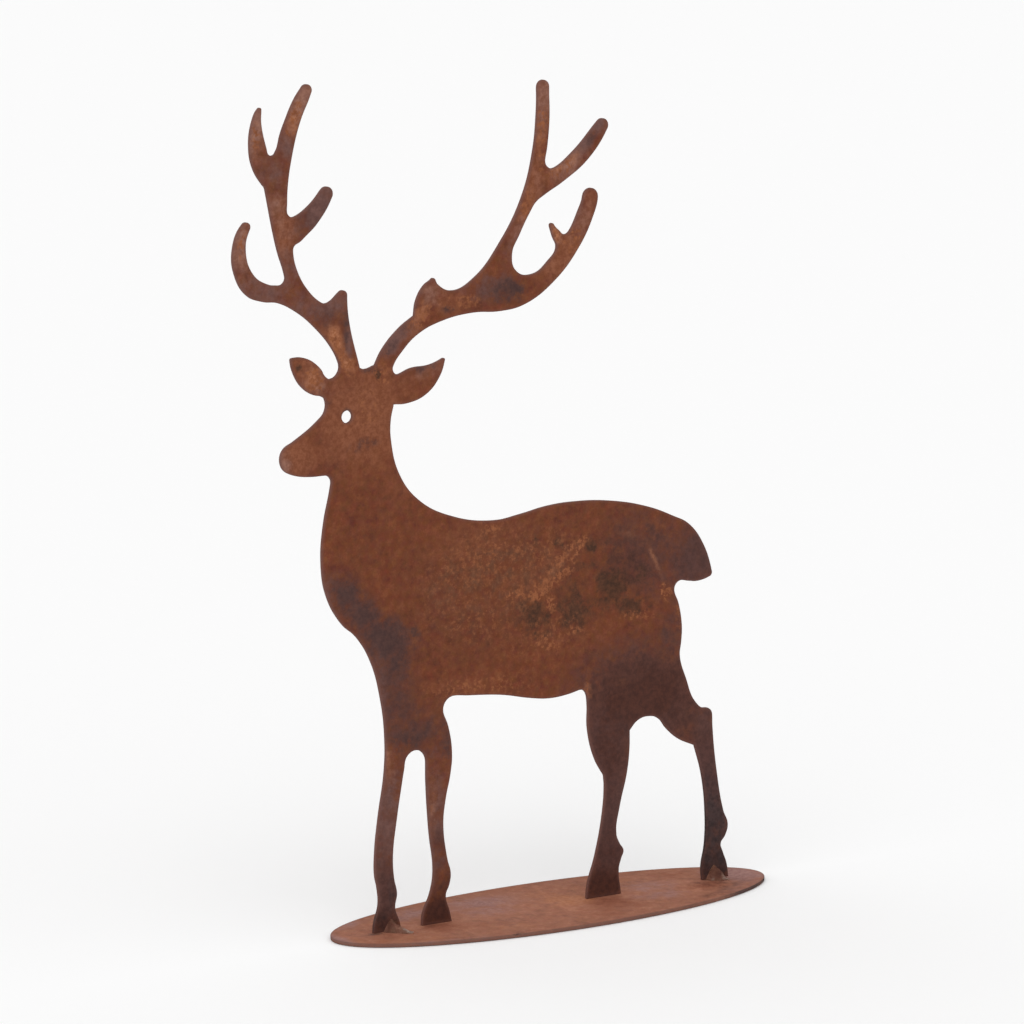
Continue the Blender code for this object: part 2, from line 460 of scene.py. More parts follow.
class RustMottle(SharedEffect):
    """Rust in three tones that drift broadly, break up finely and change their hue from spot to spot."""

    name = "rust_mottle"
    takes = {"Point": "Vector", "Deep": "Color", "Main": "Color", "Bright": "Color", "Hue Drift": "Float"}
    gives = {"Color": "Color", "Cloud": "Float"}
    cloud = Clouds(30 * MM)
    mottle = Clouds(5 * MM, 5.0, 0.62)
    grain = Clouds(1.1 * MM, 3.0, 0.6)
    shares = (0.3, 0.5, 0.2)
    deep_span = (0.37, 0.5)
    bright_span = (0.5, 0.63)
    hue = Clouds(3.5 * MM, 3.0, 0.5)
    hue_middle = (0.5, 0.5, 0.5)
    hue_reach = (0.16, 0.07, 0.05)
    darkest = (0.003, 0.002, 0.002)
    ring_size = 3.6 * MM
    ring_bend = 2.2 * MM
    ring_radius = 0.42
    ring_fade = (0.02, 0.16)
    ring_share = 0.3
    ring_places = (0.42, 0.6)

    def wire(self, wiring: Wiring, given: bpy.types.NodeOutputs) -> dict[str, Socket]:
        """Mixes the three tones by a broad, a middle and a fine pattern.

        Args:
            wiring: The group's own tree.
            given: The group's inputs.

        Returns:
            The rust's colour and the broad pattern.
        """
        point = given["Point"]
        levels = [wiring.noise(point, clouds) for clouds in (self.cloud, self.mottle, self.grain)]
        parts = [wiring.math("MULTIPLY", level, share) for level, share in zip(levels, self.shares)]
        tone = wiring.math("ADD", wiring.math("ADD", parts[0], parts[1]), parts[2])
        low = wiring.blend(wiring.remap(tone, *self.deep_span), given["Deep"], given["Main"])
        plain = wiring.blend(wiring.remap(tone, *self.bright_span), low, given["Bright"])
        colour = wiring.blend(self.rings(wiring, point, levels[1]), plain, given["Bright"])
        centred = wiring.vector("SUBTRACT", wiring.noise(point, self.hue, "Color"), self.hue_middle)
        swing = wiring.vector("MULTIPLY", centred, self.hue_reach)
        drift = wiring.vector("MULTIPLY", swing, given["Hue Drift"])
        drifted = wiring.vector("ADD", colour, drift)
        return {"Color": wiring.vector("MAXIMUM", drifted, self.darkest), "Cloud": levels[0]}

    def rings(self, wiring: Wiring, point: Socket, mottle: Socket) -> Socket:
        """Draws the faint rings that curl up here and there in thick rust.

        Args:
            wiring: The group's own tree.
            point: The place on the piece.
            mottle: The middle-sized pattern, which breaks the rings up.

        Returns:
            The rings' mask.
        """
        bent = wiring.vector("ADD", point, wiring.math("MULTIPLY", mottle, self.ring_bend))
        off = wiring.math("SUBTRACT", wiring.cells(bent, self.ring_size), self.ring_radius)
        ring = wiring.remap(wiring.math("ABSOLUTE", off), *self.ring_fade, self.ring_share, 0.0)
        return wiring.math("MULTIPLY", ring, wiring.remap(mottle, *self.ring_places))


class StainCoat(SharedEffect):
    """One tint of stain over the rust, whose border is soft or broken into specks."""

    name = "stain_coat"
    takes = {
        "Under": "Color", "Level": "Float", "Pattern": "Float", "Speckle": "Float", "Raggedness": "Float",
        "Darker": "Color", "Lighter": "Color",
    }
    gives = {"Color": "Color", "Mask": "Float"}
    span = (0.05, 0.95)
    half_covered = 4.0
    middle = 0.5

    def wire(self, wiring: Wiring, given: bpy.types.NodeOutputs) -> dict[str, Socket]:
        """Shifts the level by the pattern wherever it is neither full nor nothing, and most at a half.

        Args:
            wiring: The group's own tree.
            given: The group's inputs.

        Returns:
            The colour with the stain on it, and the stain's mask.
        """
        level = given["Level"]
        partial = wiring.math("MULTIPLY", level, wiring.math("SUBTRACT", 1.0, level))
        loose = wiring.math("MULTIPLY", partial, self.half_covered)
        centred = wiring.math("SUBTRACT", given["Pattern"], self.middle)
        swing = wiring.math("MULTIPLY", centred, given["Raggedness"])
        shifted = wiring.math("ADD", level, wiring.math("MULTIPLY", loose, swing))
        mask = wiring.remap(shifted, *self.span)
        tone = wiring.blend(given["Speckle"], given["Darker"], given["Lighter"])
        return {"Color": wiring.blend(mask, given["Under"], tone), "Mask": mask}


class PittedSkin(SharedEffect):
    """The height of a rusted skin: fine grit, shallow pits and, where it is scaly, flakes."""

    name = "pitted_skin"
    takes = {"Point": "Vector", "Scaly": "Float"}
    gives = {"Height": "Float"}
    grit = Clouds(0.5 * MM, 2.0)
    grit_share = 0.5
    pits = Clouds(2.2 * MM, span=(0.32, 0.5))
    pit_share = 0.35
    flake_size = 1.8 * MM

    def wire(self, wiring: Wiring, given: bpy.types.NodeOutputs) -> dict[str, Socket]:
        """Adds up grit, pits and flakes.

        Args:
            wiring: The group's own tree.
            given: The group's inputs.

        Returns:
            The height, in parts of the skin's depth.
        """
        point = given["Point"]
        grit = wiring.math("MULTIPLY", wiring.noise(point, self.grit), self.grit_share)
        pits = wiring.math("MULTIPLY", wiring.pattern(point, self.pits), self.pit_share)
        flakes = wiring.math("MULTIPLY", wiring.cells(point, self.flake_size), given["Scaly"])
        return {"Height": wiring.math("ADD", wiring.math("ADD", grit, pits), flakes)}


class Effects:
    """The shared effects that every rust material places."""

    def __init__(self) -> None:
        """Builds each effect once."""
        self.mottle = RustMottle().tree
        self.stain = StainCoat().tree
        self.skin = PittedSkin().tree


CLOUDS = Clouds(7 * MM, 8.0, 0.7)
GRAINS = Clouds(1.9 * MM, 4.0, 0.6, (0.33, 0.67))


class Border(Enum):
    """How a stain ends: the pattern that breaks it up, and how strongly."""

    SOFT = (CLOUDS, 0.5)
    RAGGED = (CLOUDS, 0.9)
    GRAINY = (GRAINS, 1.7)


class Tint(Enum):
    """The kinds of stain on the steel, and of painted shade, reflection, sheen and highlight: a darker
    tone, a lighter tone and how it ends.
    """

    TAN = (shade(116, 66, 44), shade(136, 83, 59), Border.SOFT)
    DUSTY = (shade(126, 86, 73), shade(149, 107, 91), Border.SOFT)
    PLUM = (shade(76, 51, 47), shade(88, 59, 54), Border.SOFT)
    DUSK = (shade(102, 72, 66), shade(117, 84, 77), Border.SOFT)
    UMBER = (shade(68, 41, 35), shade(82, 49, 40), Border.SOFT)
    SCORCH = (shade(70, 49, 47), shade(82, 57, 52), Border.RAGGED)
    # Soot-dark rust on the stag, and painted shade on the foot plate: shadow at the hooves and the shaded
    # right end of its rim
    SOOT = (shade(52, 41, 41), shade(70, 55, 54), Border.SOFT)
    SCALE = (shade(64, 43, 33), shade(88, 56, 41), Border.RAGGED)
    FRESH = (shade(122, 72, 47), shade(148, 91, 60), Border.GRAINY)
    # Grey-pink, also used as painted sheen on the foot plate's border
    MAUVE = (shade(136, 96, 90), shade(154, 116, 108), Border.SOFT)
    # Painted reflection and shade of the legs on the foot plate
    RUDDY = (shade(126, 74, 56), shade(144, 88, 66), Border.SOFT)
    OCHRE = (shade(150, 94, 66), shade(168, 111, 80), Border.SOFT)
    # Pale grey: pale spatter, and a painted highlight on the fore bead's end
    SLAG = (shade(118, 93, 83), shade(158, 136, 124), Border.RAGGED)

    @property
    def layer(self) -> str:
        """The mesh attribute that holds where the tint lies."""
        return "stain_" + self.name.lower()


class Face(Enum):
    """The plane that a sheet lies in: the axes across it, along it and out of it, and which way is out."""

    UPRIGHT = (0, 2, 1, -1.0)
    LEVEL = (0, 1, 2, 1.0)


@dataclass(frozen=True)
class Stain:
    """One patch of a tint, an oval whose border fades out.

    Its place and half sizes are in millimetres along the face's two directions, its turn in degrees.
    """

    tint: Tint
    across: float
    along: float
    half_across: float
    half_along: float
    strength: float
    turn: float = 0.0

    def level(self, across: np.ndarray, along: np.ndarray) -> np.ndarray:
        """How strongly the stain covers each of many places.

        Args:
            across: The places' first direction, in millimetres.
            along: The places' second direction.

        Returns:
            The stain's strength there, 0 well outside it.
        """
        turn = math.radians(self.turn)
        right, up = across - self.across, along - self.along
        first = (right * math.cos(turn) + up * math.sin(turn)) / self.half_across
        second = (up * math.cos(turn) - right * math.sin(turn)) / self.half_along
        fade = (STAIN_END - np.hypot(first, second)) / (STAIN_END - STAIN_FULL)
        return self.strength * np.clip(fade, 0.0, 1.0)


def stains(tint: Tint, *rows: tuple[float, ...]) -> tuple[Stain, ...]:
    """Lists the stains of one tint, each given by the numbers that Stain takes, in their order."""
    return tuple(Stain(tint, *row) for row in rows)


def store_stains(mesh: bpy.types.Mesh, face: Face, front: tuple[Stain, ...], back: tuple[Stain, ...],
                 wall: tuple[Stain, ...] = ()) -> None:
    """Keeps on a mesh how strongly each tint covers it.

    Args:
        mesh: The mesh.
        face: The plane that the stains lie in.
        front: The stains of the side that the photograph shows.
        back: The stains of the other side.
        wall: The stains that lie on the cut edge alone.
    """
    places = places_of(mesh) / MM
    first, second, out, way = face.value
    across, along = places[:, first], places[:, second]
    lowest, highest = places[:, out].min(), places[:, out].max()
    depth = (2 * places[:, out] - lowest - highest) / (highest - lowest) * way
    for tint in Tint:
        level = np.zeros(len(places))
        for side, patches in ((depth > 0, front), (depth <= 0, back), (abs(depth) < WALL_SHARE, wall)):
            for stain in patches:
                if stain.tint is tint:
                    level = np.maximum(level, stain.level(across, along) * side)
        if level.any():
            store_layer(mesh, tint.layer, level)


@dataclass(frozen=True)
class RustFinish:
    """A rusted steel surface.

    The first three tones are its general colour and the edge tone is that of the cut edges; on the stag it
    also holds painted glancing sheen. The tints are those of its stains, and on the foot plate and the
    welds also of painted shade, shadow, reflection, sheen and highlight. Roughness runs between two values,
    and the relief is the skin's depth. The edge tone fades in over two spans of the distance from the rim,
    in
    millimetres: a faint border on the face and the cut itself, where it is mixed with the deep tone in
    specks.
    """

    name: str
    deep: Colour
    main: Colour
    bright: Colour
    edge: Colour
    tints: tuple[Tint, ...]
    relief: float = 0.12 * MM
    roughness: tuple[float, float] = (0.7, 0.92)
    roughness_span: tuple[float, float] = (0.3, 0.7)
    gloss: float = 0.12
    hue_drift: float = 0.28
    speckle: Clouds = Clouds(2.4 * MM, 5.0, 0.65, (0.33, 0.67))
    border_span: tuple[float, float] = (0.3, 1.8)
    border_share: float = 0.3
    cut_span: tuple[float, float] = (0.05, 0.3)
    cut_share: float = 0.65
    cut_specks: Clouds = Clouds(1.4 * MM, span=(0.35, 0.65))
    speck_share: float = 0.35

    def material(self, effects: Effects) -> bpy.types.Material:
        """Builds the material.

        Args:
            effects: The shared effects.

        Returns:
            The material, with its one Principled shader.
        """
        material = bpy.data.materials.new(self.name)
        material.use_nodes = True
        wiring = Wiring(material.node_tree)
        shader = material.node_tree.nodes["Principled BSDF"]
        point = wiring.node("ShaderNodeTexCoord").outputs["Object"]
        rust = wiring.group(
            effects.mottle, Point=point, Deep=self.deep, Main=self.main, Bright=self.bright,
            Hue_Drift=self.hue_drift,
        )
        colour, scaly = self.stained(wiring, effects, point, rust["Color"])
        wiring.feed(shader.inputs["Base Color"], self.edged(wiring, point, colour))
        roughness = wiring.remap(rust["Cloud"], *self.roughness_span, *self.roughness)
        wiring.feed(shader.inputs["Roughness"], roughness)
        shader.inputs["Specular IOR Level"].default_value = self.gloss
        skin = wiring.group(effects.skin, Point=point, Scaly=scaly)
        bump = wiring.node("ShaderNodeBump")
        bump.inputs["Distance"].default_value = self.relief
        wiring.feed(bump.inputs["Height"], skin["Height"])
        wiring.feed(shader.inputs["Normal"], bump.outputs["Normal"])
        return material

    def stained(
        self, wiring: Wiring, effects: Effects, point: Socket, colour: Socket
    ) -> tuple[Socket, Source]:
        """Lays the stains over the general rust, one tint after another.

        Args:
            wiring: The material's tree.
            effects: The shared effects.
            point: The place on the piece.
            colour: The general rust's colour.

        Returns:
            The colour, and the mask of where the rust is scaly.
        """
        scaly: Source = 0.0
        patterns = {clouds: wiring.pattern(point, clouds) for clouds in (CLOUDS, GRAINS)}
        speckle = wiring.pattern(point, self.speckle)
        for tint in self.tints:
            darker, lighter, border = tint.value
            clouds, raggedness = border.value
            coat = wiring.group(
                effects.stain, Under=colour, Level=wiring.layer(tint.layer), Pattern=patterns[clouds],
                Speckle=speckle, Raggedness=raggedness, Darker=darker, Lighter=lighter,
            )
            colour = coat["Color"]
            if tint is Tint.SCALE:
                scaly = coat["Mask"]
        return colour, scaly

    def edged(self, wiring: Wiring, point: Socket, colour: Socket) -> Socket:
        """Darkens the sheet's border and gives the cut edge its own tone, but not where the tint of soot
        and painted shade lies.

        Args:
            wiring: The material's tree.
            point: The place on the piece.
            colour: The colour so far.

        Returns:
            The colour with the edges in it.
        """
        rim = wiring.layer(RIM)
        free_of_soot_and_shade = wiring.math("SUBTRACT", 1.0, wiring.layer(Tint.SOOT.layer))
        border = wiring.remap(rim, *self.border_span, self.border_share, 0.0)
        bordered = wiring.blend(wiring.math("MULTIPLY", border, free_of_soot_and_shade), colour, self.edge)
        specks = wiring.pattern(point, self.cut_specks, self.speck_share)
        tone = wiring.blend(specks, self.edge, self.deep)
        cut = wiring.remap(rim, *self.cut_span, self.cut_share, 0.0)
        return wiring.blend(wiring.math("MULTIPLY", cut, free_of_soot_and_shade), bordered, tone)


STAG_ZONES = (
    # Tan: the head and the withers, and parts of the antlers and ears
    *stains(
        Tint.TAN,
        (-122, 280, 34, 28, 0.95), (-163, 262, 14, 12, 1.0), (-50, 203, 38, 18, 0.5),
        (-72, 185, 26, 16, 0.3), (-98, 240, 14, 12, 0.4), (-8, 186, 32, 14, 0.5, 25),
        (-5, 149, 26, 7, 0.35, -5), (-58, 130, 28, 7, 0.4, -3), (-158, 308, 10, 10, 0.8),
        (-169, 380, 8, 16, 0.7), (22, 386, 8, 12, 0.5), (-144, 326, 9, 8, 0.6, -40),
        (-66, 337, 12, 6, 0.7), (-16, 392, 8, 26, 0.8), (4, 358, 18, 14, 0.8, 40), (0, 370, 5, 6, 1.0),
    ),
    # Dusty: the muzzle's end, the ears and the upper antlers
    *stains(
        Tint.DUSTY,
        (-171, 258, 6, 8, 0.7), (-150, 302, 10, 10, 0.5), (-80, 302, 12, 8, 0.4, 15),
        (-196, 374, 12, 20, 0.65), (-173, 393, 8, 10, 0.55), (-169, 378, 12, 40, 0.25, 4),
        (-2, 388, 30, 46, 0.25), (-158, 446, 12, 16, 0.8), (-188, 436, 9, 16, 1.0),
        (-92, 326, 10, 8, 0.4), (-80, 343, 10, 8, 0.5), (-24, 376, 8, 14, 0.45), (-8, 442, 12, 22, 0.6),
        (8, 408, 14, 10, 0.8, 35), (16, 377, 14, 18, 0.4, 20), (1, 370, 5, 6, 0.8),
    ),
    # Plum: the rump, the thigh, the legs, the chest's border and parts of the antlers
    *stains(
        Tint.PLUM,
        (60, 190, 32, 28, 0.65), (95, 185, 22, 28, 0.85, -30), (78, 145, 14, 18, 0.55),
        (60, 106, 50, 36, 1.0), (36, 90, 20, 40, 1.0), (104, 60, 20, 60, 1.0), (38, 45, 20, 55, 1.0),
        (-133, 188, 15, 10, 0.75, -35), (-122, 176, 16, 10, 0.85, -35), (-107, 160, 20, 13, 0.95, -15),
        (-104, 142, 14, 16, 0.75), (-104, 122, 20, 22, 0.65), (-88, 108, 22, 16, 0.65),
        (-70, 108, 8, 16, 0.55), (-109, 64, 14, 46, 0.6), (-109, 22, 12, 30, 0.9),
        (-75, 40, 12, 26, 0.45), (-143, 335, 11, 8, 0.6), (-150, 391, 8, 14, 0.9, -35),
        (-38, 343, 16, 8, 0.6),
    ),
    # Dusky mauve brown: parts of the antlers, and the fore legs
    *stains(
        Tint.DUSK,
        (-182, 351, 20, 10, 0.6), (-156, 341, 18, 9, 0.5, -20), (-137, 342, 7, 8, 0.7),
        (-166, 361, 8, 12, 0.55), (-176, 412, 9, 10, 0.6), (-167, 425, 5, 9, 0.7),
        (-146, 394, 10, 16, 0.75, -35), (-161, 380, 5, 7, 0.35), (-174, 403, 6, 7, 0.35),
        (-130, 322, 3, 14, 0.8), (-103, 319, 10, 6, 0.9, 45), (-40, 344, 24, 8, 0.4),
        (-28, 362, 8, 10, 0.4), (17, 416, 9, 5, 0.95, 35), (28, 427, 7, 6, 0.9), (-109, 64, 14, 38, 0.6),
        (-109, 22, 12, 26, 0.35), (-77, 60, 12, 40, 0.5), (-144, 186, 6, 16, 0.4, 15),
        (-112, 140, 5, 30, 0.35, 5), (98, 90, 8, 8, 0.3, -30), (45, 72, 6, 22, 0.3),
    ),
)

STAG_FRONT_STAINS = STAG_ZONES + (
    # Scorched purple: the chest's border, the tops of the fore legs and the antlers
    *stains(
        Tint.SCORCH,
        (-106, 160, 13, 10, 0.8, -15), (-132, 186, 10, 7, 0.65, -40), (-121, 175, 11, 6, 0.7, -35),
        (-102, 147, 9, 8, 0.5), (-92, 162, 7, 5, 0.5, -20), (-93, 104, 13, 5, 0.6), (-70, 97, 4, 9, 0.4),
        (-105, 317, 9, 4, 0.5, 45), (-96, 328, 4, 6, 0.4, 40), (-68, 334, 6, 3, 0.4, 8),
        (-28, 341, 12, 6, 0.85), (21, 418, 10, 4, 0.4, 35), (-131, 328, 3, 16, 0.6, -8),
        (-172, 424, 4, 8, 0.15), (-144, 390, 6, 16, 0.3, -35), (-86, 304, 12, 3, 0.5, 8),
        (-118, 306, 8, 2.5, 0.6), (-145, 292, 4, 7, 0.4), (-122, 266, 12, 3.5, 0.4, 10),
    ),
    # Dark brown: the thigh, the oval over it, the hind legs and the hooves
    *stains(
        Tint.UMBER,
        (60, 110, 36, 22, 1.0), (38, 84, 15, 24, 0.6), (88, 92, 20, 12, 0.5, -35), (37, 26, 10, 14, 0.35),
        (34, 9, 14, 9, 1.0), (-109, 32, 7, 26, 0.35), (-71, 20, 6, 8, 0.6), (-112, 6, 10, 10, 0.75),
        (108, 8, 14, 12, 1.0), (-75, 47, 5, 7, 0.5), (-76, 9, 12, 9, 1.0), (46, 184, 20, 17, 0.5, -25),
        (-42, 180, 58, 32, 0.24, 10), (10, 145, 60, 24, 0.1),
    ),
    # Nearly black: the lower off hind leg, the foremost hoof and the inside of the eye
    *stains(
        Tint.SOOT,
        (108, 34, 12, 30, 0.72, 5), (108, 14, 14, 12, 0.75), (100, 5, 7, 8, 0.3), (117, 7, 6, 9, 0.5),
        (-111, 8, 7, 8, 0.35), (-105, 22, 4, 12, 0.5), (-132, 282, 3.3, 3.6, 1.0),
    ),
    # Dark scale in blotches along the flank
    *stains(
        Tint.SCALE,
        (-13, 164, 10, 9, 0.9), (-20, 170, 7, 5, 0.6, 30), (-10, 153, 9, 2.5, 0.7, -8),
        (13, 163, 11, 10, 0.9), (13, 176, 6, 6, 0.7), (38, 175, 11, 9, 1.0), (27, 184, 7, 6, 0.4),
        (-6, 184, 62, 22, 0.33, 12), (-44, 190, 48, 24, 0.38, 10), (-50, 164, 40, 22, 0.27),
        (-14, 164, 18, 13, 0.4), (22, 166, 20, 14, 0.35, 10), (32, 168, 10, 10, 0.5),
        (25, 198, 6, 5, 0.6, 20), (3, 201, 3.5, 4, 0.8), (-12, 204, 3, 3.5, 0.8), (58, 179, 6, 7, 0.45),
        (52, 163, 12, 5.5, 0.8, -5), (-103.5, 7, 2.5, 4, 0.5), (-112, 302, 1.6, 2.8, 1.0),
        (-161, 309, 2.2, 2.2, 0.9),
    ),
    # Fresh orange rust, in grains
    *stains(
        Tint.FRESH,
        (-8, 178, 8, 4, 0.9, 26), (-2, 168, 3.5, 6, 0.35), (8, 194, 14, 3.2, 0.75, 34),
        (-25, 176, 8, 4, 0.4, 20), (5, 186, 10, 5, 0.4, 32), (-20, 194, 44, 16, 0.17, 18),
        (-2, 156, 26, 12, 0.14), (-44, 128, 34, 8, 0.2, -2), (-46, 196, 44, 20, 0.19, 10),
        (-50, 168, 42, 22, 0.15), (-10, 150, 50, 16, 0.12), (74, 168, 4, 5, 0.4, 20),
        (-5, 148, 9, 4, 0.4, -15), (12, 152, 9, 2.5, 0.35), (55, 157, 14, 3, 0.25, -5),
        (-41, 214, 7, 3, 0.4, -20), (-60, 130, 26, 6, 0.2, -3), (22, 118, 3, 5, 0.3),
        (84, 156, 2.5, 10, 0.3), (-110, 302, 6, 6, 0.3), (-118, 285, 10, 14, 0.2), (-151, 303, 6, 6, 0.7),
        (-137.5, 321, 3.5, 8, 0.7, 14), (-131, 309, 4, 7, 0.5, 38), (-9, 431, 6, 5, 0.6),
        (1, 370, 4, 6, 0.6), (-18, 386, 4, 12, 0.4, -14), (-186, 430, 3, 8, 0.3),
        (-163, 439, 4, 10, 0.4, -20), (-195, 378, 3, 10, 0.3), (-86, 332, 8, 5, 0.5, 45),
        (-60, 337, 12, 4, 0.3), (11, 366, 7, 9, 0.4, 45), (4, 405, 9, 5, 0.4, 35), (-9, 420, 4, 18, 0.3),
        (-79, 66, 4, 18, 0.12), (-107, 94, 3, 12, 0.12, 8),
    ),
    # Ochre: soft bright runs and the thin bright line round the oval over the thigh
    *stains(
        Tint.OCHRE,
        (-138, 321.5, 4, 9, 1.0, 16), (-136, 316, 3, 5, 0.5, 20), (-131.5, 310, 3.5, 8, 0.7, 36),
        (1, 370, 4, 5, 1.0), (3, 352, 8, 5, 0.2, 30), (-9, 420, 4, 10, 0.3), (-18, 386, 4, 12, 0.2, -14),
        (12, 411, 8, 4, 0.4, 35), (44, 121, 7, 4, 0.14), (-42, 182, 56, 30, 0.2, 10),
        (25, 148, 50, 24, 0.1), (-79, 66, 3, 18, 0.25), (-107, 93, 5, 11, 0.4, 6),
        (-163, 438, 4, 9, 0.5, -20), (-85, 332, 6, 4, 0.65, 45), (-152, 303, 5, 5, 0.8),
        (2, 404, 7, 4, 0.4, 35), (9, 364, 6, 6, 0.25, 45), (66, 188, 1.8, 13, 0.4, 26),
        (3, 190, 3.5, 19, 0.3, -52), (51, 202, 12, 2, 0.25, -12), (22, 119, 3, 6, 0.35),
    ),
)

FOOT_STAINS = (
    # Grey-pink patches, with painted sheen where the oval's top border catches light at both ends
    *stains(
        Tint.MAUVE,
        (-75, 24, 26, 12, 0.6), (-36, 8, 16, 12, 0.6), (-32, 24, 30, 14, 0.7), (-52, 8, 8, 14, 0.3),
        (66, -16, 14, 10, 0.5), (67, 3, 20, 12, 0.5), (50, -14, 14, 8, 0.4), (-139, 0, 5, 22, 0.9),
        (-118, 24, 14, 6, 0.7, 25), (126, 2, 18, 22, 1.0), (108, -24, 20, 7, 0.35, 25),
        (-100, -34, 40, 4, 0.5, -14), (110, -10.5, 7, 2, 0.7),
    ),
    # Painted reflection and shade of the legs: ruddy patches, mostly in front of the hooves
    *stains(
        Tint.RUDDY,
        (30, -14, 14, 16, 0.8, 15), (16, -30, 14, 10, 0.5, 30), (-78, -9, 12, 10, 0.7),
        (96, -12, 14, 10, 0.8), (102, -8, 9, 5, 0.8), (92, 20, 12, 8, 0.5), (-60, -16, 20, 12, 0.3),
        (-110, -12, 20, 14, 0.4),
    ),
    *stains(
        Tint.OCHRE,
        (-108, -18, 20, 7, 0.4, -8), (-130, -8, 8, 7, 0.35), (14, 5, 16, 14, 0.8),
        (-96, -26, 40, 6, 0.3, -14), (0, 22, 18, 10, 0.4), (-44, -30, 14, 8, 0.5), (-6, -36, 12, 8, 0.35),
        (62, 24, 12, 8, 0.35),
    ),
    # Nearly black: the nick's dark mark, and painted contact shadow by the hind hoof and under the fore
    # hoof's toe
    *stains(
        Tint.SOOT,
        (-54, -44.2, 2.2, 1.2, 0.8), (104, -3, 10, 3, 0.4), (-115.5, -2, 5, 3, 0.8),
    ),
    # Painted shade: darker at the right end, the plate's shadow side, and in front of the hooves
    *stains(
        Tint.UMBER,
        (102, -9, 14, 8, 0.5, -10), (104, -20, 26, 9, 0.35, 20), (86, -31, 20, 7, 0.35, 14),
        (120, -8, 14, 14, 0.2), (28, -12, 14, 12, 0.2), (-82, -5, 12, 5, 0.25), (-114, -12, 8, 6, 0.2),
    ),
)

# The rim wall, darker towards the right end: painted shade of the plate's shadow side
RIM_PAINTED_SHADE = (
    *stains(
        Tint.SOOT,
        (112, -28, 30, 16, 0.75, 20), (130, -12, 14, 14, 1.0), (60, -43, 20, 6, 0.35),
    ),
)

STAG_BACK_STAINS = STAG_ZONES + (
    *stains(
        Tint.SCORCH,
        (-110, 156, 16, 14, 0.7), (-60, 336, 22, 6, 0.5, 10), (-158, 344, 18, 8, 0.4, -20),
        (-92, 104, 13, 6, 0.5),
    ),
    *stains(
        Tint.UMBER,
        (55, 108, 34, 22, 0.6), (34, 9, 14, 9, 1.0), (-76, 9, 12, 9, 1.0), (-109, 20, 9, 22, 0.6),
        (52, 186, 24, 14, 0.45, 10),
    ),
    *stains(
        Tint.SOOT,
        (108, 34, 12, 30, 0.8, 5), (108, 10, 14, 12, 0.9), (-132, 282, 3.3, 3.6, 1.0),
    ),
    *stains(
        Tint.SCALE,
        (-24, 172, 20, 9, 0.7, 20), (22, 166, 12, 8, 0.65, -15), (48, 178, 8, 6, 0.5),
    ),
    *stains(
        Tint.FRESH,
        (-66, 198, 28, 10, 0.3, 10), (-2, 186, 24, 5, 0.4, 15), (-112, 272, 14, 14, 0.25),
        (-30, 130, 30, 5, 0.25), (10, 400, 16, 14, 0.3),
    ),
    *stains(
        Tint.OCHRE,
        (-134, 314, 4, 10, 0.5, 30), (-76, 338, 8, 5, 0.4), (8, 366, 8, 6, 0.4, 40),
    ),
)

UNDERSIDE_STAINS = (
    *stains(
        Tint.MAUVE,
        (-60, 10, 40, 20, 0.6), (80, -10, 30, 18, 0.5),
    ),
    *stains(
        Tint.OCHRE,
        (20, 12, 30, 16, 0.5),
    ),
    *stains(
        Tint.SOOT,
        (-100, -10, 14, 10, 0.5),
    ),
)

STAG_WALL_STAINS = (
    *stains(
        Tint.SOOT,
        (106, 24, 14, 44, 1.0, 4), (-114, 6, 8, 12, 0.7),
    ),
    *stains(
        Tint.DUSK,
        (-112, 60, 16, 50, 0.5),
    ),
)

WELD_STAINS = (
    *stains(
        Tint.UMBER,
        (-107, -2, 2.5, 2.5, 0.6), (110, -4, 4.5, 4.5, 0.65),
    ),
    # Pale grey: a painted highlight at the fore bead's outer end, and pale spatter at the hind bead
    *stains(
        Tint.SLAG,
        (-98.5, -8.8, 4.4, 3.2, 1.0), (112.8, -7, 2.4, 1.8, 0.8), (105.4, -4.5, 1.2, 1.2, 0.3),
    ),
)

STAG_RUST = RustFinish(
    name="stag_rust",
    deep=shade(94, 49, 35),
    main=shade(108, 59, 39),
    bright=shade(122, 70, 46),
    # Edge tone: partly the cut edges' own purplish grey, partly painted glancing sheen
    edge=shade(112, 80, 74),
    tints=(
        Tint.TAN, Tint.DUSTY, Tint.PLUM, Tint.DUSK, Tint.UMBER, Tint.SCORCH, Tint.SOOT, Tint.SCALE,
        Tint.OCHRE, Tint.FRESH,
    ),
)
FOOT_RUST = RustFinish(
    name="foot_plate_rust",
    deep=shade(132, 84, 66),
    main=shade(148, 96, 75),
    bright=shade(164, 111, 88),
    edge=shade(104, 78, 72),
    tints=(Tint.MAUVE, Tint.RUDDY, Tint.OCHRE, Tint.UMBER, Tint.SOOT),
)
WELD_RUST = RustFinish(
    name="weld_rust",
    deep=shade(92, 60, 49),
    main=shade(110, 74, 60),
    bright=shade(130, 93, 77),
    edge=shade(96, 62, 50),
    tints=(Tint.UMBER, Tint.SLAG),
    relief=0.25 * MM,
)


